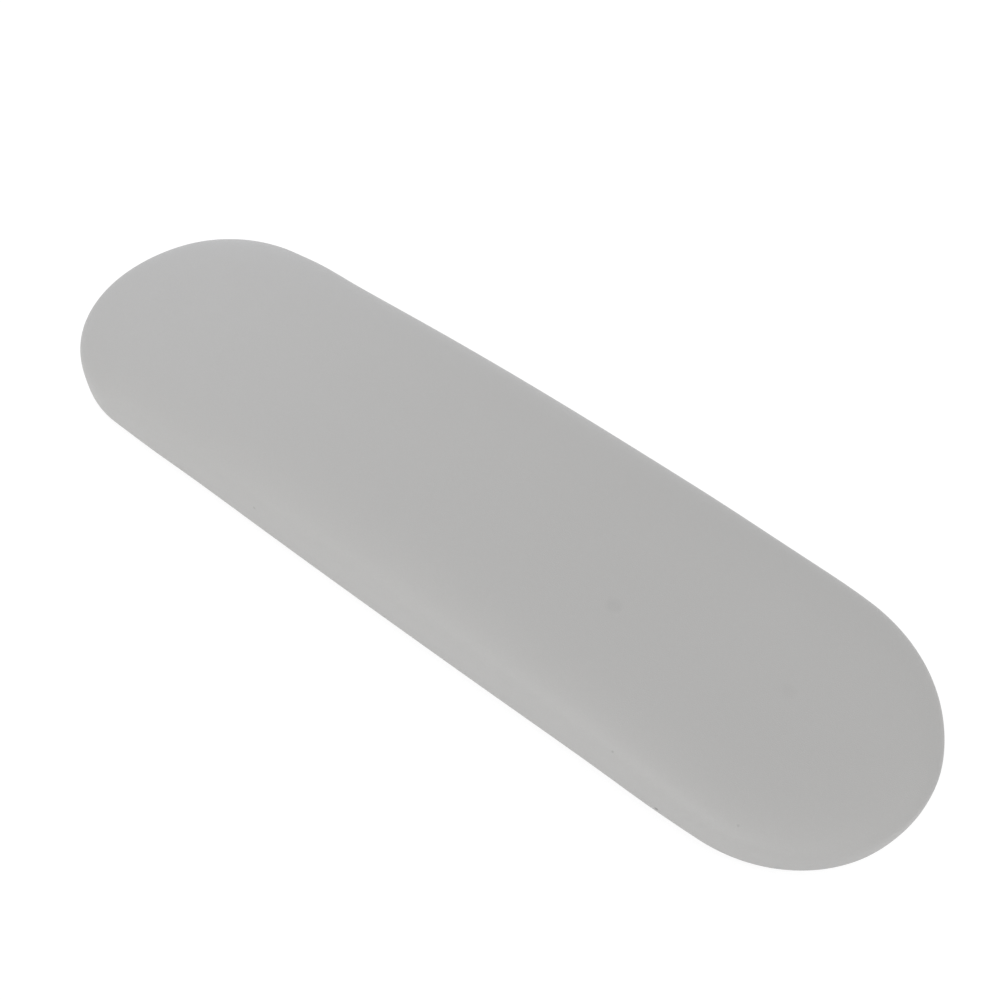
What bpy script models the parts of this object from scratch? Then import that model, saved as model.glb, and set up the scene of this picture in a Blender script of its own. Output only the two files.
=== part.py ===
"""Manicure hand rest.

A long, round-ended pad to lay a hand and wrist on. One soft sheet is drawn over a foam cushion and
a stiff board. Its margin is turned under the board and notched round the ends, so that it lies
flat there, and a non-slip sheet stuck over the margin closes the underside.

X runs along the pad, Y across it and Z up. The origin is the middle of the underside, on the
surface that the pad lies on. Lengths are in metres.
"""
import math

import bmesh
import bpy
from mathutils import Vector

# The pad's plan, over the cover
LENGTH = 0.400            # from tip to tip
END_RADIUS = 0.0540       # of the round ends, half the pad's width where they begin
SIDE_BOW = 0.0027         # how far each long side bows out in the middle
SIDE_SWELL = 0.00062      # how far a side swells again near its ends, where the cover turns them
SWELL_INSET = 0.0175      # from where a round end begins to the middle of that swelling
SWELL_REACH = 0.0220      # how far the swelling reaches along the side each way

# The pad's section, over the cover: a roll at the underside, and one curve from there over the top
TURN_RADIUS = 0.0035      # roll between underside and side
MIDDLE_DOME = 0.0280      # height of the curve above the roll at the middle of the length
END_DOME = 0.0134         # what that height falls to at the tips
FULLNESS = 5.0            # of the curve: 2 is an ellipse, and more has fuller shoulders

# The pieces
COVER_THICKNESS = 0.0010
COVER_MARGIN = 0.0190     # width of the cover turned under, from the pad's edge inwards
NOTCH_DEPTH = 0.0100      # how far the notches in the margin stop short of its inner edge
TABS_PER_END = 10         # tabs that the notches leave round each end
TAB_SHARE = 0.62          # width of a tab's inner edge, as a share of the space it has
BOARD_THICKNESS = 0.0050
BOARD_TOP_CHAMFER = 0.0008
SHEET_THICKNESS = 0.0015
SHEET_INSET = 0.0060      # from the pad's edge to the edge of the non-slip sheet
SHEET_EDGE = 0.0003       # chamfer on the non-slip sheet's lower edge
CLEARANCE = 0.0003        # between pieces that touch

# Steps of the mesh
END_STEPS = 2 * TABS_PER_END      # round each end
SIDE_STEPS = 20                   # along each long side
TURN_STEPS = 3                    # round the roll at the underside
DOME_STEPS = 12                   # from there to the middle of the top
CENTRE_HALF_WIDTH = 0.0060        # of the strip that closes the top along the middle

# Worked out from the sizes above
SPINE_HALF = LENGTH / 2 - END_RADIUS
COVER_BOTTOM = SHEET_THICKNESS + CLEARANCE
BOARD_BOTTOM = COVER_BOTTOM + COVER_THICKNESS + CLEARANCE
BOARD_TOP = BOARD_BOTTOM + BOARD_THICKNESS
FOAM_BOTTOM = BOARD_TOP + CLEARANCE
LINING = COVER_THICKNESS + CLEARANCE     # from the pad's outside to what the cover holds
DOME_FOOT = COVER_BOTTOM + TURN_RADIUS
DOME_LAST = math.acos((CENTRE_HALF_WIDTH / END_RADIUS) ** (FULLNESS / 2))   # its last angle


def clear_scene():
    for item in list(bpy.data.objects):
        bpy.data.objects.remove(item, do_unlink=True)


def make_material(name, colour, roughness):
    """A plain Principled material. Colour is linear."""
    material = bpy.data.materials.new(name)
    material.use_nodes = True
    shader = material.node_tree.nodes["Principled BSDF"]
    shader.inputs["Base Color"].default_value = (*colour, 1.0)
    shader.inputs["Roughness"].default_value = roughness
    shader.inputs["Metallic"].default_value = 0.0
    material.diffuse_color = (*colour, 1.0)
    return material


def plan_stations():
    """Stations round the pad from its +X tip, as (place on the spine, direction out of it)."""
    half = END_STEPS // 2
    quarter = math.pi / 2
    stations = [(SPINE_HALF, quarter * k / half) for k in range(half)]
    for k in range(SIDE_STEPS):
        stations.append((SPINE_HALF * (1 - 2 * k / SIDE_STEPS), quarter))
    for k in range(END_STEPS):
        stations.append((-SPINE_HALF, quarter + math.pi * k / END_STEPS))
    for k in range(SIDE_STEPS):
        stations.append((-SPINE_HALF * (1 - 2 * k / SIDE_STEPS), 3 * quarter))
    for k in range(half):
        stations.append((SPINE_HALF, 3 * quarter + quarter * k / half))
    return stations


STATIONS = plan_stations()


def along(x):
    """1 at the middle of the length and 0 at the tips, falling off as a parabola."""
    return max(0.0, 1 - (2 * x / LENGTH) ** 2)


def side_stands_out(x):
    """How far the pad's side stands out from a straight line, at a place along it."""
    from_swelling = (abs(x) - SPINE_HALF + SWELL_INSET) / SWELL_REACH
    return SIDE_BOW * along(x) + SIDE_SWELL * math.exp(-from_swelling ** 2)


def plan_point(station, inset):
    """The point on the pad's plan at a station, moved in from the pad's edge."""
    spine_x, direction = station
    radius = END_RADIUS - inset
    x = spine_x + radius * math.cos(direction)
    y = radius * math.sin(direction) * (1 + side_stands_out(x) / END_RADIUS)
    return x, y


def ring(inset, height):
    """A closed ring of points round the pad, level all the way."""
    return [Vector((*plan_point(station, inset), height)) for station in STATIONS]


def turn_rings(lining):
    """Rings of the roll between underside and side wall, from the underside outwards."""
    radius = TURN_RADIUS - lining
    rings = []
    for k in range(TURN_STEPS + 1):
        angle = math.pi / 2 * k / TURN_STEPS
        inset = TURN_RADIUS - radius * math.sin(angle)
        rings.append(ring(inset, COVER_BOTTOM + TURN_RADIUS - radius * math.cos(angle)))
    return rings


def dome_point(station, angle, lining):
    """The point at a station where the section's curve has come to an angle, moved in by lining.

    The curve is a superellipse: at angle 0 it stands upright on the roll of the underside, and at
    a right angle it is level on the middle of the top.
    """
    power = 2 / FULLNESS
    inset = END_RADIUS * (1 - math.cos(angle) ** power)
    x, _ = plan_point(station, inset)
    height = END_DOME + (MIDDLE_DOME - END_DOME) * along(x)
    slope = math.atan2(
        height * math.cos(angle) ** (2 - power),
        END_RADIUS * math.sin(angle) ** (2 - power),
    )
    x, y = plan_point(station, inset + lining * math.sin(slope))
    return Vector((x, y, DOME_FOOT + height * math.sin(angle) ** power - lining * math.cos(slope)))


def dome_rings(lining, start_height=DOME_FOOT):
    """Rings up the side and over the top, from a height to the strip along the middle."""
    rings = [[] for _ in range(DOME_STEPS + 1)]
    for station in STATIONS:
        x, y = plan_point(station, lining)
        height = END_DOME + (MIDDLE_DOME - END_DOME) * along(x)
        first = math.asin(((start_height - DOME_FOOT) / height) ** (FULLNESS / 2))
        rings[0].append(Vector((x, y, start_height)))
        for k in range(1, DOME_STEPS + 1):
            angle = first + (DOME_LAST - first) * k / DOME_STEPS
            rings[k].append(dome_point(station, angle, lining))
    return rings


def add_ring(mesh, points):
    return [mesh.verts.new(point) for point in points]


def join_rings(mesh, rings):
    """Faces between each ring and the next."""
    for lower, upper in zip(rings, rings[1:]):
        count = len(lower)
        for k in range(count):
            following = (k + 1) % count
            mesh.faces.new((lower[k], lower[following], upper[following], upper[k]))


def close_across(mesh, verts, upwards):
    """Faces straight across a ring, between the points that mirror each other in Y."""
    count = len(verts)
    for k in range(count // 2):
        corners = [verts[k], verts[k + 1], verts[count - k - 1], verts[(count - k) % count]]
        face = list(dict.fromkeys(corners))
        mesh.faces.new(face if upwards else face[::-1])


def finish(mesh, name, material, smooth_angle):
    """An object from the mesh, shaded smooth up to an angle."""
    data = bpy.data.meshes.new(name)
    mesh.to_mesh(data)
    mesh.free()
    data.materials.append(material)
    data.shade_smooth()
    data.set_sharp_from_angle(angle=math.radians(smooth_angle))
    item = bpy.data.objects.new(name, data)
    bpy.context.scene.collection.objects.link(item)
    return item


def margin_edge(mesh, outer_ring):
    """The turned-under margin: plain along the sides, cut into tabs round the ends.

    Each tab spans two steps of the ring and narrows to its inner edge, so that its two neighbours
    leave a notch on each side of it.
    """
    notch_inset = COVER_MARGIN - NOTCH_DEPTH
    notch_ring = add_ring(mesh, ring(notch_inset, COVER_BOTTOM))
    join_rings(mesh, [notch_ring, outer_ring])
    inner = ring(COVER_MARGIN, COVER_BOTTOM)
    count = len(inner)
    half = END_STEPS // 2

    def tab(first):
        """One tab of the end, over the steps first to first + 2."""
        middle = inner[(first + 1) % count]
        corners = [middle.lerp(inner[k % count], TAB_SHARE) for k in (first, first + 2)]
        edge = [mesh.verts.new(point) for point in (corners[0], middle, corners[1])]
        for k in range(2):
            base = (notch_ring[(first + k) % count], notch_ring[(first + k + 1) % count])
            mesh.faces.new((edge[k], edge[k + 1], base[1], base[0]))

    def side(first):
        """The plain margin of a long side, from the first station to the last of that side."""
        edge = [mesh.verts.new(inner[(first + k) % count]) for k in range(SIDE_STEPS + 1)]
        for k in range(SIDE_STEPS):
            base = (notch_ring[(first + k) % count], notch_ring[(first + k + 1) % count])
            mesh.faces.new((edge[k], edge[k + 1], base[1], base[0]))

    left_end = half + SIDE_STEPS
    right_end = left_end + END_STEPS + SIDE_STEPS
    for start in (left_end, right_end):
        for k in range(TABS_PER_END):
            tab(start + 2 * k)
    side(half)
    side(left_end + END_STEPS)


def make_cover(material):
    """The soft sheet over the top and sides, with its margin turned under the board."""
    mesh = bmesh.new()
    rings = turn_rings(0.0)[:-1] + dome_rings(0.0)
    skin = [add_ring(mesh, points) for points in rings]
    margin_edge(mesh, skin[0])
    join_rings(mesh, skin)
    close_across(mesh, skin[-1], upwards=True)
    cover = finish(mesh, "cover", material, smooth_angle=50.0)
    sheet = cover.modifiers.new("sheet thickness", "SOLIDIFY")
    sheet.thickness = COVER_THICKNESS
    sheet.offset = -1.0
    sheet.use_even_offset = True
    return cover


def make_foam(material):
    """The foam block: flat on the board, and domed under the cover."""
    mesh = bmesh.new()
    skin = [add_ring(mesh, points) for points in dome_rings(LINING, FOAM_BOTTOM)]
    join_rings(mesh, skin)
    close_across(mesh, skin[0], upwards=False)
    close_across(mesh, skin[-1], upwards=True)
    return finish(mesh, "foam_cushion", material, smooth_angle=50.0)


def make_board(material):
    """The stiff board, its lower edge rounded for the cover to turn on."""
    mesh = bmesh.new()
    rings = turn_rings(LINING)
    rings.append(ring(LINING, BOARD_TOP - BOARD_TOP_CHAMFER))
    rings.append(ring(LINING + BOARD_TOP_CHAMFER, BOARD_TOP))
    skin = [add_ring(mesh, points) for points in rings]
    join_rings(mesh, skin)
    close_across(mesh, skin[0], upwards=False)
    close_across(mesh, skin[-1], upwards=True)
    return finish(mesh, "base_board", material, smooth_angle=40.0)


def make_non_slip_sheet(material):
    """The sheet stuck over the cover's margin, flat on the surface that the pad lies on."""
    mesh = bmesh.new()
    rings = [
        ring(SHEET_INSET + SHEET_EDGE, 0.0),
        ring(SHEET_INSET, SHEET_EDGE),
        ring(SHEET_INSET, SHEET_THICKNESS),
    ]
    skin = [add_ring(mesh, points) for points in rings]
    join_rings(mesh, skin)
    close_across(mesh, skin[0], upwards=False)
    close_across(mesh, skin[-1], upwards=True)
    return finish(mesh, "non_slip_sheet", material, smooth_angle=30.0)


def main():
    clear_scene()
    make_cover(make_material("grey synthetic leather", (0.456, 0.451, 0.434), 0.60))
    make_foam(make_material("foam", (0.78, 0.74, 0.60), 0.95))
    make_board(make_material("fibreboard", (0.33, 0.22, 0.13), 0.80))
    make_non_slip_sheet(make_material("non-slip sheet", (0.035, 0.035, 0.036), 0.85))


main()
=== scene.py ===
"""Looks of the manicure hand rest.

A soft cover drawn over foam and a board, with a dotted non-slip sheet underneath. X runs along the
pad, Y across it and Z up. Lengths are in metres, and colours are linear.
"""
import math

import bmesh
import bpy
import numpy as np
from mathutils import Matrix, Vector


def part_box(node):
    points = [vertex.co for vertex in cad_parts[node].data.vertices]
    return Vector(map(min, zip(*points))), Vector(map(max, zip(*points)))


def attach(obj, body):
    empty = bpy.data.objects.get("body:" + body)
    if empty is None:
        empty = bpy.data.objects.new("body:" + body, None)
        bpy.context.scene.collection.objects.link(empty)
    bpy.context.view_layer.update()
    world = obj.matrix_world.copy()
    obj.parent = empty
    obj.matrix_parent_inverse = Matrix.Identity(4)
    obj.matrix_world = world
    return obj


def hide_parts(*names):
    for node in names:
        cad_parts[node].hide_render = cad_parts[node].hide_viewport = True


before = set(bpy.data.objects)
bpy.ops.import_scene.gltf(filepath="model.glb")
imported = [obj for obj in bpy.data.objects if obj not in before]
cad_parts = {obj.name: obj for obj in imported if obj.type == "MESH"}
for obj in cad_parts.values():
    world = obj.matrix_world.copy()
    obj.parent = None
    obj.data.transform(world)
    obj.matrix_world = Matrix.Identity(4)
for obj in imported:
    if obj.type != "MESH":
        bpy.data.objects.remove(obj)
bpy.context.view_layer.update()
BODY = "root"

# The pad's sizes, from the frame
COVER_LOW, COVER_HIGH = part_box("cover")
SHEET_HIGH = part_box("non_slip_sheet")[1]
LENGTH = COVER_HIGH.x - COVER_LOW.x
COVER_BOTTOM = COVER_LOW.z
SHEET_TOP = SHEET_HIGH.z
SHEET_INSET = COVER_HIGH.x - SHEET_HIGH.x     # from the pad's edge to the non-slip sheet's

# The rest of its form, as the solids have it
END_RADIUS = 0.0540       # of the round ends, half the pad's width where they begin
SIDE_BOW = 0.0027         # how far each long side bows out in the middle
SIDE_SWELL = 0.00062      # how far a side swells again near its ends
SWELL_INSET = 0.0175      # from where a round end begins to the middle of that swelling
SWELL_REACH = 0.0220      # how far the swelling reaches along the side each way
TURN_RADIUS = 0.0035      # roll between underside and side
MIDDLE_DOME = 0.0280      # height of the dome above that roll at the middle of the length
END_DOME = 0.0134         # what that height falls to at the tips
FULLNESS = 5.0            # of the section's curve: 2 is an ellipse, and more has fuller shoulders
COVER_THICKNESS = 0.0010
COVER_MARGIN = 0.0190     # width of the cover turned under, from the pad's edge inwards
NOTCH_DEPTH = 0.0100      # of the notches in the margin round the ends
TABS_PER_END = 10         # tabs that the notches leave round each end
TAB_SHARE = 0.62          # width of a tab's inner edge, as a share of the space it has
SPINE_HALF = LENGTH / 2 - END_RADIUS
DOME_FOOT = COVER_BOTTOM + TURN_RADIUS
NOTCH_INSET = COVER_MARGIN - NOTCH_DEPTH


# Helpers

def smoothstep(low, high, value):
    """0 up to low, 1 from high on, and a smooth rise between them."""
    share = min(1.0, max(0.0, (value - low) / (high - low)))
    return share * share * (3 - 2 * share)


def read_vectors(collection, name):
    """The vectors that the items of a collection keep under a name, as the rows of an array."""
    values = np.empty(len(collection) * 3, np.float32)
    collection.foreach_get(name, values)
    return values.reshape(-1, 3)


def mesh_object(name, mesh, material):
    """A smooth shaded object from a bmesh, which is freed."""
    data = bpy.data.meshes.new(name)
    mesh.to_mesh(data)
    mesh.free()
    data.materials.append(material)
    data.shade_smooth()
    piece = bpy.data.objects.new(name, data)
    bpy.context.scene.collection.objects.link(piece)
    return piece


def add_node(tree, kind, inputs=None, **settings):
    """A node of a tree. An input's value is a number, a colour or the socket that feeds it."""
    node = tree.nodes.new(kind)
    for name, value in settings.items():
        setattr(node, name, value)
    for name, value in (inputs or {}).items():
        if isinstance(value, bpy.types.NodeSocket):
            tree.links.new(value, node.inputs[name])
        else:
            node.inputs[name].default_value = value
    return node


# Plan and section of the pad

def along(x):
    """1 at the middle of the length and 0 at the tips, falling off as a parabola."""
    return max(0.0, 1 - (2 * x / LENGTH) ** 2)


def side_stands_out(x):
    """How far the pad's side stands out from a straight line, at a place along it."""
    from_swelling = (abs(x) - SPINE_HALF + SWELL_INSET) / SWELL_REACH
    return SIDE_BOW * along(x) + SIDE_SWELL * math.exp(-from_swelling ** 2)


def plan_point(station, inset):
    """The point on the pad's plan at a station, moved in from the pad's edge."""
    spine_x, direction = station
    radius = END_RADIUS - inset
    x = spine_x + radius * math.cos(direction)
    y = radius * math.sin(direction) * (1 + side_stands_out(x) / END_RADIUS)
    return x, y


def plan_stations(end_steps, side_steps):
    """Stations round the pad from its +X tip, as (place on the spine, direction out of it)."""
    half = end_steps // 2
    quarter = math.pi / 2
    stations = [(SPINE_HALF, quarter * k / half) for k in range(half)]
    for k in range(side_steps):
        stations.append((SPINE_HALF * (1 - 2 * k / side_steps), quarter))
    for k in range(end_steps):
        stations.append((-SPINE_HALF, quarter + math.pi * k / end_steps))
    for k in range(side_steps):
        stations.append((-SPINE_HALF * (1 - 2 * k / side_steps), 3 * quarter))
    for k in range(half):
        stations.append((SPINE_HALF, 3 * quarter + quarter * k / half))
    return stations


def dome_point(station, angle, sink):
    """The point of the cover's outside where the section's curve has come to an angle.

    sink moves it inwards, square to the curve.
    """
    power = 2 / FULLNESS
    inset = END_RADIUS * (1 - math.cos(angle) ** power)
    x, _ = plan_point(station, inset)
    height = END_DOME + (MIDDLE_DOME - END_DOME) * along(x)
    slope = math.atan2(
        height * math.cos(angle) ** (2 - power),
        END_RADIUS * math.sin(angle) ** (2 - power),
    )
    x, y = plan_point(station, inset + sink * math.sin(slope))
    return Vector((x, y, DOME_FOOT + height * math.sin(angle) ** power - sink * math.cos(slope)))


def join_rings(mesh, rings):
    """Faces between each ring of vertices and the next one up."""
    for lower, upper in zip(rings, rings[1:]):
        count = len(lower)
        for k in range(count):
            following = (k + 1) % count
            mesh.faces.new((lower[k], lower[following], upper[following], upper[k]))


def close_across(mesh, ring, upwards):
    """Faces straight across a ring, between the vertices that mirror each other in Y."""
    count = len(ring)
    for k in range(count // 2):
        corners = [ring[k], ring[k + 1], ring[count - k - 1], ring[(count - k) % count]]
        face = list(dict.fromkeys(corners))
        mesh.faces.new(face if upwards else face[::-1])


# The cover

END_STEPS = 80            # round each end, a whole number of tabs
SIDE_STEPS = 48           # along each long side
MARGIN_STEPS = 4          # from the notches to the roll at the underside
TAB_STEPS = 4             # from the notches to the inner edge of a tab
TURN_STEPS = 5            # round the roll
DOME_STEPS = 27           # from there to the strip along the middle of the top
CENTRE_HALF_WIDTH = 0.005      # of that strip
SLACK = 0.0010            # how far inside its final place the cover starts before it swells
SLACK_HEIGHT = 0.008      # over which the slack comes in above the roll at the underside
PROUD = 0.00012           # how far the swollen cover may stand off the foam's own shape
PLEATS_PER_END = 20       # small gathers of the turned-under margin round each end
PLEAT_DEPTH = 0.0002
CLOTH_FRAMES = 20
RIM_WIDTH = 0.020         # over which what stands out at the edge dies away towards the top
UNEVEN = [
    # where the drawn cover stands out of its even outline, or in: place on its edge, reach, amount
    ("left end, by the tip", -0.184, 0.031, 0.014, 0.00030),
    ("left end, before the far shoulder", -0.157, 0.047, 0.012, -0.00025),
    ("left end, far shoulder", -0.129, 0.053, 0.013, 0.00048),
    ("left end, near shoulder", -0.152, -0.054, 0.012, 0.00035),
    ("far side, right half", 0.086, 0.056, 0.030, 0.00035),
    ("right end, far shoulder", 0.139, 0.054, 0.012, 0.00030),
    ("right end, far side of the tip", 0.198, 0.012, 0.012, 0.00035),
    ("right end, near side of the tip", 0.198, -0.014, 0.010, -0.00025),
]


def pleat(station):
    """How far the turned-under margin lifts at a station: gathers round the ends, none along."""
    _, direction = station
    round_the_end = abs(math.cos(direction)) ** 0.5
    return PLEAT_DEPTH * round_the_end * math.sin(PLEATS_PER_END * direction) ** 2


def stands_out(station):
    """How far the drawn cover stands out from its even outline at a station."""
    x, y = plan_point(station, 0.0)
    return sum(
        amount * math.exp(-((x - at_x) ** 2 + (y - at_y) ** 2) / reach ** 2)
        for _, at_x, at_y, reach, amount in UNEVEN
    )


def dome_angles():
    """Angles of the rings over the dome, closest together where the section turns over."""
    last = math.acos((CENTRE_HALF_WIDTH / END_RADIUS) ** (FULLNESS / 2))
    power = 2 / FULLNESS
    last_bearing = math.atan(math.tan(last) ** power)
    angles = [0.0]
    for k in range(1, DOME_STEPS):
        by_angle = math.atan(math.tan(last * k / DOME_STEPS) ** power)
        by_bearing = last_bearing * k / DOME_STEPS
        angles.append(math.atan(math.tan((by_angle + by_bearing) / 2) ** (1 / power)))
    return angles + [last]


def underside_rings(stations):
    """Rings of places from the notches in the margin outwards and round the roll."""
    rings = []
    for k in range(MARGIN_STEPS):
        inset = NOTCH_INSET + (TURN_RADIUS - NOTCH_INSET) * k / MARGIN_STEPS
        rings.append([Vector((*plan_point(s, inset), COVER_BOTTOM + pleat(s))) for s in stations])
    for k in range(TURN_STEPS):
        angle = math.pi / 2 * k / TURN_STEPS
        height = COVER_BOTTOM + TURN_RADIUS * (1 - math.cos(angle))
        ring = []
        for station in stations:
            inset = TURN_RADIUS * (1 - math.sin(angle)) - stands_out(station) * math.sin(angle)
            lift = pleat(station) * math.cos(angle) ** 2
            ring.append(Vector((*plan_point(station, inset), height + lift)))
        rings.append(ring)
    return rings


def cover_skin():
    """The cover's outside as a mesh, from the edge of its turned-under margin to the top.

    Each vertex also keeps the place where the foam's own shape would hold it.
    """
    stations = plan_stations(END_STEPS, SIDE_STEPS)
    mesh = bmesh.new()
    held_place = mesh.verts.layers.float_vector.new("held_place")
    skin = [[mesh.verts.new(point) for point in ring] for ring in underside_rings(stations)]
    for vert in mesh.verts:
        vert[held_place] = vert.co
    for angle in dome_angles():
        ring = []
        for station in stations:
            inset = END_RADIUS * (1 - math.cos(angle) ** (2 / FULLNESS))
            proud = stands_out(station) * (1 - smoothstep(0.0, RIM_WIDTH, inset))
            place = dome_point(station, angle, -proud)
            sink = SLACK * smoothstep(0.0, SLACK_HEIGHT, place.z - DOME_FOOT)
            vert = mesh.verts.new(dome_point(station, angle, sink - proud))
            vert[held_place] = place
            ring.append(vert)
        skin.append(ring)
    join_rings(mesh, skin)
    close_across(mesh, skin[-1], upwards=True)
    add_margin(mesh, skin[0], stations, held_place)
    return mesh


def add_margin(mesh, notch_ring, stations, held_place):
    """The rest of the margin: plain along the sides, cut into tabs round the ends."""
    count = len(stations)
    half = END_STEPS // 2
    steps_per_tab = END_STEPS // TABS_PER_END

    def strip(first, steps, narrowing):
        """A strip of the margin over some steps, narrowed towards its middle at its inner edge."""
        outer = [notch_ring[(first + k) % count] for k in range(steps + 1)]
        middle = stations[(first + steps // 2) % count]
        for row in range(1, TAB_STEPS + 1):
            share = row / TAB_STEPS
            inset = NOTCH_INSET + NOTCH_DEPTH * share
            centre = Vector((*plan_point(middle, inset), COVER_BOTTOM))
            inner = []
            for k in range(steps + 1):
                place = Vector((*plan_point(stations[(first + k) % count], inset), COVER_BOTTOM))
                vert = mesh.verts.new(place.lerp(centre, narrowing * share))
                vert[held_place] = vert.co
                inner.append(vert)
            for k in range(steps):
                mesh.faces.new((inner[k], inner[k + 1], outer[k + 1], outer[k]))
            outer = inner

    left_end = half + SIDE_STEPS
    right_end = left_end + END_STEPS + SIDE_STEPS
    for start in (left_end, right_end):
        for tab in range(TABS_PER_END):
            strip(start + tab * steps_per_tab, steps_per_tab, 1 - TAB_SHARE)
    strip(half, SIDE_STEPS, 0.0)
    strip(left_end + END_STEPS, SIDE_STEPS, 0.0)


def swollen(piece):
    """Where the cover's vertices come to when it swells like a stuffed skin held at its margin."""
    data = piece.data
    held = piece.vertex_groups.new(name="held")
    for vert in data.vertices:
        weight = 1 - smoothstep(0.0, SLACK_HEIGHT, vert.co.z - DOME_FOOT)
        if weight > 0:
            held.add([vert.index], weight, "REPLACE")
    cloth = piece.modifiers.new("swell", "CLOTH")
    settings = cloth.settings
    settings.quality = 6
    settings.mass = 0.15
    settings.tension_stiffness = 12
    settings.compression_stiffness = 12
    settings.bending_stiffness = 0.6
    settings.use_pressure = True
    settings.uniform_pressure_force = 4.0
    settings.effector_weights.gravity = 0
    settings.vertex_group_mass = held.name
    settings.pin_stiffness = 1.0
    cloth.collision_settings.use_collision = False
    cloth.point_cache.frame_start = 1
    cloth.point_cache.frame_end = CLOTH_FRAMES
    scene = bpy.context.scene
    for number in range(1, CLOTH_FRAMES + 1):
        scene.frame_set(number)
    stuffed = piece.evaluated_get(bpy.context.evaluated_depsgraph_get())
    places = read_vectors(stuffed.data.vertices, "co")
    piece.modifiers.remove(cloth)
    scene.frame_set(1)
    return places


def draw_over_foam(piece):
    """Lays the swollen cover on the foam, which keeps it from drawing in at the shoulders."""
    data = piece.data
    start = read_vectors(data.vertices, "co")
    place = read_vectors(data.attributes["held_place"].data, "vector")
    end = swollen(piece)
    slack = np.linalg.norm(place - start, axis=1, keepdims=True)
    outwards = (place - start) / np.maximum(slack, 1e-9)
    risen = np.sum((end - place) * outwards, axis=1, keepdims=True)
    risen = PROUD * np.tanh(np.maximum(risen, 0.0) / PROUD)
    share = np.minimum(1.0, slack / SLACK)
    data.vertices.foreach_set("co", (place + outwards * risen * share).ravel())
    data.attributes.remove(data.attributes["held_place"])
    data.update()


def make_cover(material):
    piece = mesh_object("pad_cover", cover_skin(), material)
    draw_over_foam(piece)
    smooth = piece.modifiers.new("smooth", "SUBSURF")
    smooth.levels = 1
    smooth.render_levels = 1
    wall = piece.modifiers.new("thickness", "SOLIDIFY")
    wall.thickness = COVER_THICKNESS
    wall.offset = -1.0
    wall.use_even_offset = True
    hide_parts("cover")
    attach(piece, BODY)


# The non-slip sheet

SHEET_EDGE = 0.0003       # chamfer on its lower edge
DOT_HEIGHT = 0.0004       # of the moulded dots under it, which stand on the table
DOT_PITCH = 0.0040        # from dot to dot along a row
DOT_RADIUS = 0.0010
DOT_TIP_RADIUS = 0.0007
DOT_SIDES = 10
DOT_MARGIN = 0.0030       # from the sheet's edge to the nearest dots' middles
DOT_SUNK = 0.0001         # how far the dots' roots go into the sheet


def sheet_skin():
    """The sheet without its dots: level above and below, with a chamfered lower edge."""
    stations = plan_stations(END_STEPS, SIDE_STEPS)
    mesh = bmesh.new()
    rings = [
        (SHEET_INSET + SHEET_EDGE, DOT_HEIGHT),
        (SHEET_INSET, DOT_HEIGHT + SHEET_EDGE),
        (SHEET_INSET, SHEET_TOP),
    ]
    skin = [
        [mesh.verts.new((*plan_point(station, inset), height)) for station in stations]
        for inset, height in rings
    ]
    join_rings(mesh, skin)
    close_across(mesh, skin[0], upwards=False)
    close_across(mesh, skin[-1], upwards=True)
    return mesh


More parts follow.
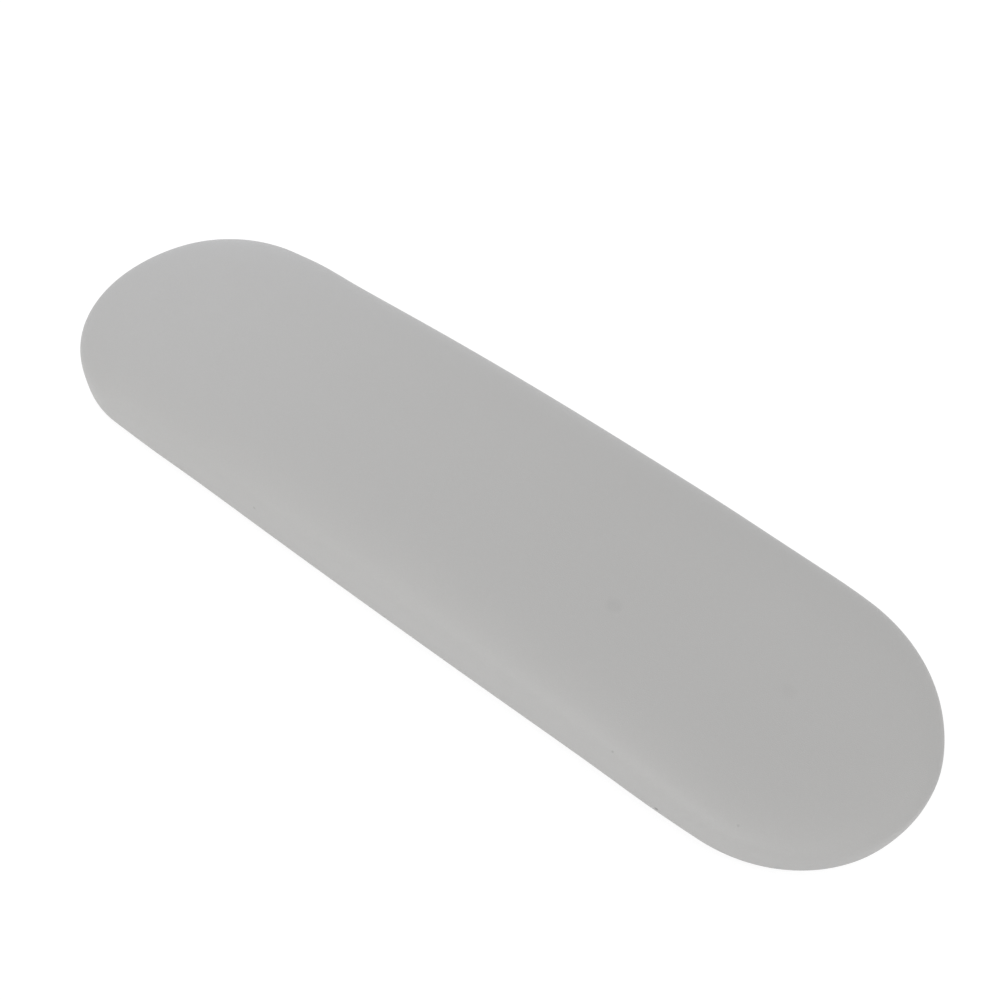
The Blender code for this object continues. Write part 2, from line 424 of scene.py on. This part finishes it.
def dots_tree():
    """A node tree that sets staggered rows of dots under a round-ended sheet."""
    tree = bpy.data.node_groups.new("non-slip dots", "GeometryNodeTree")
    interface = tree.interface
    interface.new_socket("Sheet", in_out="INPUT", socket_type="NodeSocketGeometry")
    for name in ("Length", "Width", "Pitch", "Dot Radius", "Tip Radius", "Dot Height", "Sunk"):
        interface.new_socket(name, in_out="INPUT", socket_type="NodeSocketFloat")
    interface.new_socket("Material", in_out="INPUT", socket_type="NodeSocketMaterial")
    interface.new_socket("Sheet", in_out="OUTPUT", socket_type="NodeSocketGeometry")
    given = add_node(tree, "NodeGroupInput").outputs

    def maths(operation, *values):
        inputs = dict(enumerate(values))
        return add_node(tree, "ShaderNodeMath", inputs, operation=operation).outputs[0]

    # A grid of points whose rows are a little closer than its columns
    row_pitch = maths("MULTIPLY", given["Pitch"], math.sqrt(3) / 2)
    column_gaps = maths("FLOOR", maths("DIVIDE", given["Length"], given["Pitch"]))
    row_pairs = maths("FLOOR", maths("DIVIDE", given["Width"], maths("MULTIPLY", 2.0, row_pitch)))
    row_gaps = maths("MULTIPLY", 2.0, row_pairs)
    grid = add_node(tree, "GeometryNodeMeshGrid", {
        "Size X": maths("MULTIPLY", column_gaps, given["Pitch"]),
        "Size Y": maths("MULTIPLY", row_gaps, row_pitch),
        "Vertices X": maths("ADD", column_gaps, 1.0),
        "Vertices Y": maths("ADD", row_gaps, 1.0),
    })

    # Every other row is moved along by half a pitch
    position = add_node(tree, "GeometryNodeInputPosition").outputs["Position"]
    place = add_node(tree, "ShaderNodeSeparateXYZ", {"Vector": position}).outputs
    row = maths("ROUND", maths("DIVIDE", place["Y"], row_pitch))
    half_pitch = maths("MULTIPLY", given["Pitch"], 0.5)
    shift = maths("MULTIPLY", maths("FLOORED_MODULO", row, 2.0), half_pitch)
    offset = add_node(tree, "ShaderNodeCombineXYZ", {"X": shift}).outputs["Vector"]
    staggered = add_node(
        tree, "GeometryNodeSetPosition", {"Geometry": grid.outputs["Mesh"], "Offset": offset},
    )

    # Only the points inside the round-ended shape stay
    half_length = maths("DIVIDE", given["Length"], 2.0)
    half_width = maths("DIVIDE", given["Width"], 2.0)
    spine = maths("SUBTRACT", half_length, half_width)
    past_spine = maths("MAXIMUM", maths("SUBTRACT", maths("ABSOLUTE", place["X"]), spine), 0.0)
    squares = [maths("MULTIPLY", reach, reach) for reach in (past_spine, place["Y"])]
    outside = maths("GREATER_THAN", maths("SQRT", maths("ADD", *squares)), half_width)
    kept = add_node(
        tree, "GeometryNodeDeleteGeometry",
        {"Geometry": staggered.outputs["Geometry"], "Selection": outside},
    )

    # Each dot hangs from the sheet, its wide root sunk in it
    dot = add_node(
        tree, "GeometryNodeMeshCone",
        {
            "Vertices": DOT_SIDES,
            "Radius Top": given["Dot Radius"],
            "Radius Bottom": given["Tip Radius"],
            "Depth": maths("ADD", given["Dot Height"], given["Sunk"]),
        },
        fill_type="NGON",
    )
    dots = add_node(
        tree, "GeometryNodeInstanceOnPoints",
        {"Points": kept.outputs["Geometry"], "Instance": dot.outputs["Mesh"]},
    )
    real = add_node(tree, "GeometryNodeRealizeInstances", {"Geometry": dots.outputs["Instances"]})
    joined = add_node(tree, "GeometryNodeJoinGeometry")
    tree.links.new(real.outputs["Geometry"], joined.inputs["Geometry"])
    tree.links.new(given["Sheet"], joined.inputs["Geometry"])
    dressed = add_node(
        tree, "GeometryNodeSetMaterial",
        {"Geometry": joined.outputs["Geometry"], "Material": given["Material"]},
    )
    add_node(tree, "NodeGroupOutput", {"Sheet": dressed.outputs["Geometry"]})
    return tree


def make_non_slip_sheet(material):
    piece = mesh_object("non_slip_mat", sheet_skin(), material)
    maker = piece.modifiers.new("dots", "NODES")
    maker.node_group = dots_tree()
    dots_inset = SHEET_INSET + DOT_MARGIN
    given = {
        "Length": LENGTH - 2 * dots_inset,
        "Width": 2 * (END_RADIUS - dots_inset),
        "Pitch": DOT_PITCH,
        "Dot Radius": DOT_RADIUS,
        "Tip Radius": DOT_TIP_RADIUS,
        "Dot Height": DOT_HEIGHT,
        "Sunk": DOT_SUNK,
        "Material": material,
    }
    for item in maker.node_group.interface.items_tree:
        if item.in_out == "INPUT" and item.name in given:
            maker[item.identifier] = given[item.name]
    made = piece.evaluated_get(bpy.context.evaluated_depsgraph_get())
    data = bpy.data.meshes.new_from_object(made)
    piece.modifiers.remove(maker)
    piece.data = data
    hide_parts("non_slip_sheet")
    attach(piece, BODY)


# Materials

LEATHER_DARKER = (0.461, 0.457, 0.450)
LEATHER_LIGHTER = (0.483, 0.479, 0.473)
LEATHER_ROUGHNESS = (0.56, 0.64)     # of its smoothest and its roughest places
CLOUD_SCALE = 14.0        # of the slow drift between the two tones
SHEEN = 0.20
SHEEN_ROUGHNESS = 0.40
PEBBLE_SIZE = 0.0006      # of the leather's grain
PEBBLE_HEIGHT = 0.000022
PEBBLE_SLOPE = 0.35       # how far a pebble rises inwards from its crease, as a share of its size
PEBBLE_BEND = 0.0012      # how far noise bends the pattern of the pebbles
BEND_SCALE = 260.0
CREASE_PAINTED_SHADE = 0.965      # painted shade in the creases between the pebbles: the share of light that they keep
PORE_SCALE = 3200.0
PORE_DEPTH = 0.45         # as a share of a pebble's height
MARK_EDGE_WAVE = 0.0012   # how far the outline of a mark wanders
MARK_WAVE_SCALE = 420.0
GRAIN_DEPTH = 0.0003      # of the other finishes
MARKS = [
    # small marks on the cover: place, radius, how soft the edge is, and the light that they keep
    # the first two darken the colour in round, soft-edged spots on the top
    ("darker round spot", (0.0775, -0.0128, 0.0311), 0.0027, 0.0026, 0.955),
    ("faint spot", (0.1432, -0.0002, 0.0258), 0.0028, 0.0030, 0.975),
    ("speck on the left side", (-0.0613, -0.0563, 0.0169), 0.0006, 0.0005, 0.78),
    ("speck low on the right side", (0.1291, -0.0562, 0.0065), 0.0006, 0.0005, 0.55),
    ("speck on the right side", (0.1084, -0.0548, 0.0212), 0.0005, 0.0004, 0.80),
    ("speck by the right end", (0.1560, -0.0500, 0.0206), 0.0004, 0.0004, 0.88),
]

# The sockets of a Mix node that mixes colours
MIX_FIRST_COLOUR = 6
MIX_SECOND_COLOUR = 7
MIX_COLOUR_OUT = 2


def new_material(name):
    material = bpy.data.materials.new(name)
    material.use_nodes = True
    tree = material.node_tree
    return material, tree, tree.nodes["Principled BSDF"]


def noise(tree, place, scale, detail):
    return add_node(
        tree, "ShaderNodeTexNoise", {"Vector": place, "Scale": scale, "Detail": detail},
    )


def mix_tones(tree, share, first, second):
    """A colour between two, by a share from 0 to 1."""
    tones = {0: share, MIX_FIRST_COLOUR: (*first, 1.0), MIX_SECOND_COLOUR: (*second, 1.0)}
    return add_node(tree, "ShaderNodeMix", tones, data_type="RGBA").outputs[MIX_COLOUR_OUT]


def dim(tree, colour, light):
    """A colour that keeps only a share of its light."""
    return add_node(
        tree, "ShaderNodeVectorMath", {0: colour, 1: light}, operation="MULTIPLY",
    ).outputs["Vector"]


def add_bump(tree, shader, height, strength, distance):
    bump = add_node(
        tree, "ShaderNodeBump", {"Height": height, "Strength": strength, "Distance": distance},
    )
    tree.links.new(bump.outputs["Normal"], shader.inputs["Normal"])


def add_mark(tree, place, wave, colour, centre, radius, softness, kept):
    """The colour with a roundish mark on it, which keeps only a share of its light."""
    away = add_node(tree, "ShaderNodeVectorMath", {0: place, 1: centre}, operation="DISTANCE")
    wander = min(MARK_EDGE_WAVE, radius)
    wandered = add_node(
        tree, "ShaderNodeMath", {0: wave, 1: wander, 2: away.outputs["Value"]},
        operation="MULTIPLY_ADD",
    )
    edge = radius + wander / 2
    light = add_node(
        tree, "ShaderNodeMapRange",
        {
            "Value": wandered.outputs[0],
            "From Min": edge - softness / 2,
            "From Max": edge + softness / 2,
            "To Min": kept,
            "To Max": 1.0,
        },
        interpolation_type="SMOOTHSTEP",
    )
    return dim(tree, colour, light.outputs["Result"])


def leather_material():
    """Smooth matte leather: slow clouds of tone, a few small marks, and a fine low grain with
    painted shade in its creases.
    """
    material, tree, shader = new_material("matte grey leather")
    place = add_node(tree, "ShaderNodeTexCoord").outputs["Object"]
    cloud = noise(tree, place, CLOUD_SCALE, 3.0).outputs["Fac"]
    colour = mix_tones(tree, cloud, LEATHER_DARKER, LEATHER_LIGHTER)
    wave = noise(tree, place, MARK_WAVE_SCALE, 1.0).outputs["Fac"]
    for _, centre, radius, softness, kept in MARKS:
        colour = add_mark(tree, place, wave, colour, centre, radius, softness, kept)

    # Fine pebbles with creases between them, and pores finer still
    drift = noise(tree, place, BEND_SCALE, 1.0).outputs["Color"]
    bent = add_node(
        tree, "ShaderNodeVectorMath", {0: drift, 1: (PEBBLE_BEND,) * 3, 2: place},
        operation="MULTIPLY_ADD",
    )
    pebbles = add_node(
        tree, "ShaderNodeTexVoronoi", {"Vector": bent.outputs["Vector"], "Scale": 1 / PEBBLE_SIZE},
        feature="DISTANCE_TO_EDGE",
    )
    swell = add_node(
        tree, "ShaderNodeMapRange",
        {"Value": pebbles.outputs["Distance"], "From Max": PEBBLE_SLOPE},
        interpolation_type="SMOOTHSTEP",
    ).outputs["Result"]
    pores = noise(tree, place, PORE_SCALE, 2.0).outputs["Fac"]
    height = add_node(
        tree, "ShaderNodeMath", {0: pores, 1: PORE_DEPTH, 2: swell}, operation="MULTIPLY_ADD",
    )
    add_bump(tree, shader, height.outputs[0], 1.0, PEBBLE_HEIGHT)
    # The creases between the pebbles are painted darker in the colour: painted shade
    shade = add_node(
        tree, "ShaderNodeMapRange", {"Value": swell, "To Min": CREASE_PAINTED_SHADE, "To Max": 1.0},
    )
    colour = dim(tree, colour, shade.outputs["Result"])
    tree.links.new(colour, shader.inputs["Base Color"])

    shader.inputs["Sheen Weight"].default_value = SHEEN
    shader.inputs["Sheen Roughness"].default_value = SHEEN_ROUGHNESS
    smoothest, roughest = LEATHER_ROUGHNESS
    rough = add_node(
        tree, "ShaderNodeMapRange", {"Value": cloud, "To Min": smoothest, "To Max": roughest},
    )
    tree.links.new(rough.outputs["Result"], shader.inputs["Roughness"])
    return material


def grained_material(name, darker, lighter, grain_scale, roughness, bump_strength):
    """A finish with fine grain between two tones."""
    material, tree, shader = new_material(name)
    place = add_node(tree, "ShaderNodeTexCoord").outputs["Object"]
    grain = noise(tree, place, grain_scale, 4.0).outputs["Fac"]
    tree.links.new(mix_tones(tree, grain, darker, lighter), shader.inputs["Base Color"])
    add_bump(tree, shader, grain, bump_strength, GRAIN_DEPTH)
    shader.inputs["Roughness"].default_value = roughness
    return material


def foam_material():
    return grained_material(
        "open foam", darker=(0.70, 0.66, 0.52), lighter=(0.84, 0.80, 0.66),
        grain_scale=900.0, roughness=0.95, bump_strength=0.5,
    )


def board_material():
    return grained_material(
        "fibreboard", darker=(0.27, 0.18, 0.10), lighter=(0.38, 0.26, 0.16),
        grain_scale=700.0, roughness=0.8, bump_strength=0.2,
    )


def rubber_material():
    return grained_material(
        "black rubber", darker=(0.020, 0.020, 0.021), lighter=(0.035, 0.035, 0.036),
        grain_scale=500.0, roughness=0.7, bump_strength=0.3,
    )


def dress_node(name, material):
    """Gives a solid of the frame its finish."""
    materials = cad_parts[name].data.materials
    materials.clear()
    materials.append(material)


# The room: floor, background, lights and camera

WHITE = (1.0, 1.0, 1.0)
COOL_WHITE = (0.83, 0.88, 1.0)
AMBIENT = 0.60            # strength of the white light from all round
FLOOR_ALBEDO = 0.86
FLOOR_HALF = 20.0         # half the floor's width
FLOOR_DROP = 0.0001       # how far the floor lies under the pad
FLOOR_SHARE = 0.20        # how much of the floor's own shading, and so the shadow, the camera sees
LAMPS = [
    # name, azimuth and elevation in degrees, distance, size, watts, colour
    ("overhead", 0.0, 88.0, 1.2, 1.2, 0.7, WHITE),
    ("front", 5.0, 12.0, 1.3, 0.5, 4.7, WHITE),
    ("right", 110.0, 40.0, 1.3, 1.0, 3.4, WHITE),
    ("back", 200.0, 12.0, 1.3, 0.5, 0.75, WHITE),
    ("back left", 235.0, 12.0, 1.3, 0.5, 2.06, COOL_WHITE),
    ("over the left end", 285.0, 55.0, 0.4, 0.3, 0.20, WHITE),
]

# The camera: where it looks from and at, and how long its lens is on its sensor
CAMERA_AZIMUTH = math.radians(38.89)
CAMERA_ELEVATION = math.radians(53.67)
CAMERA_DISTANCE = 0.55866
CAMERA_TARGET = Vector((0.00327, 0.01485, 0.00192))
CAMERA_LENS_MM = 50.14
CAMERA_SENSOR_MM = 36.0
CAMERA_NEAREST = 0.01     # it sees nothing nearer than this


def seen_directly(tree):
    """1 for rays of the camera and for what they reflect or pass through, else 0."""
    path = add_node(tree, "ShaderNodeLightPath").outputs
    seen = path["Is Camera Ray"]
    for kind in ("Is Glossy Ray", "Is Transmission Ray"):
        node = add_node(tree, "ShaderNodeMath", {0: seen, 1: path[kind]}, operation="MAXIMUM")
        seen = node.outputs[0]
    return seen


def mix_shaders(tree, share, first, second):
    return add_node(tree, "ShaderNodeMixShader", {0: share, 1: first, 2: second}).outputs[0]


def make_world():
    """White light from all round, and a background that looks plain white."""
    world = bpy.data.worlds.new("white room")
    bpy.context.scene.world = world
    world.use_nodes = True
    tree = world.node_tree
    ambient = tree.nodes["Background"]
    ambient.inputs["Color"].default_value = (*WHITE, 1.0)
    ambient.inputs["Strength"].default_value = AMBIENT
    shown = add_node(tree, "ShaderNodeBackground", {"Color": (*WHITE, 1.0), "Strength": 1.0})
    both = mix_shaders(tree, seen_directly(tree), ambient.outputs[0], shown.outputs[0])
    tree.links.new(both, tree.nodes["World Output"].inputs["Surface"])


def make_floor():
    """A white floor, which shows the camera only a little of its own shading."""
    material = bpy.data.materials.new("white floor")
    material.use_nodes = True
    tree = material.node_tree
    tree.nodes.clear()
    paint = (FLOOR_ALBEDO, FLOOR_ALBEDO, FLOOR_ALBEDO, 1.0)
    shaded = add_node(tree, "ShaderNodeBsdfDiffuse", {"Color": paint}).outputs[0]
    strength = (1 - FLOOR_SHARE * FLOOR_ALBEDO * AMBIENT) / (1 - FLOOR_SHARE)
    lit = add_node(tree, "ShaderNodeEmission", {"Strength": strength}).outputs[0]
    shown = mix_shaders(tree, FLOOR_SHARE, lit, shaded)
    both = mix_shaders(tree, seen_directly(tree), shaded, shown)
    add_node(tree, "ShaderNodeOutputMaterial", {"Surface": both})
    mesh = bmesh.new()
    bmesh.ops.create_grid(mesh, x_segments=1, y_segments=1, size=FLOOR_HALF)
    floor = mesh_object("floor", mesh, material)
    floor.location.z = -FLOOR_DROP


def direction(azimuth, elevation):
    """Unit vector from the pad towards a place round it. Azimuth 0 is at -Y, and 90 at +X."""
    return Vector((
        math.sin(azimuth) * math.cos(elevation),
        -math.cos(azimuth) * math.cos(elevation),
        math.sin(elevation),
    ))


def aim(item, target, towards, distance):
    """Places a lamp or camera at a distance from a target, in a direction, and turns it to it."""
    item.location = target + towards * distance
    item.rotation_mode = "QUATERNION"
    item.rotation_quaternion = towards.to_track_quat("Z", "Y")
    bpy.context.scene.collection.objects.link(item)


def make_lamps():
    for name, azimuth, elevation, distance, size, watts, colour in LAMPS:
        data = bpy.data.lights.new(name, "AREA")
        data.size = size
        data.energy = watts
        data.color = colour
        towards = direction(math.radians(azimuth), math.radians(elevation))
        aim(bpy.data.objects.new(name, data), Vector(), towards, distance)


def make_camera():
    data = bpy.data.cameras.new("camera")
    data.sensor_width = CAMERA_SENSOR_MM
    data.lens = CAMERA_LENS_MM
    data.clip_start = CAMERA_NEAREST
    camera = bpy.data.objects.new("camera", data)
    aim(camera, CAMERA_TARGET, direction(CAMERA_AZIMUTH, CAMERA_ELEVATION), CAMERA_DISTANCE)
    bpy.context.scene.camera = camera


bpy.context.scene.view_settings.view_transform = "Standard"
make_world()
make_floor()
make_lamps()
make_camera()
make_cover(leather_material())
dress_node("foam_cushion", foam_material())
dress_node("base_board", board_material())
make_non_slip_sheet(rubber_material())
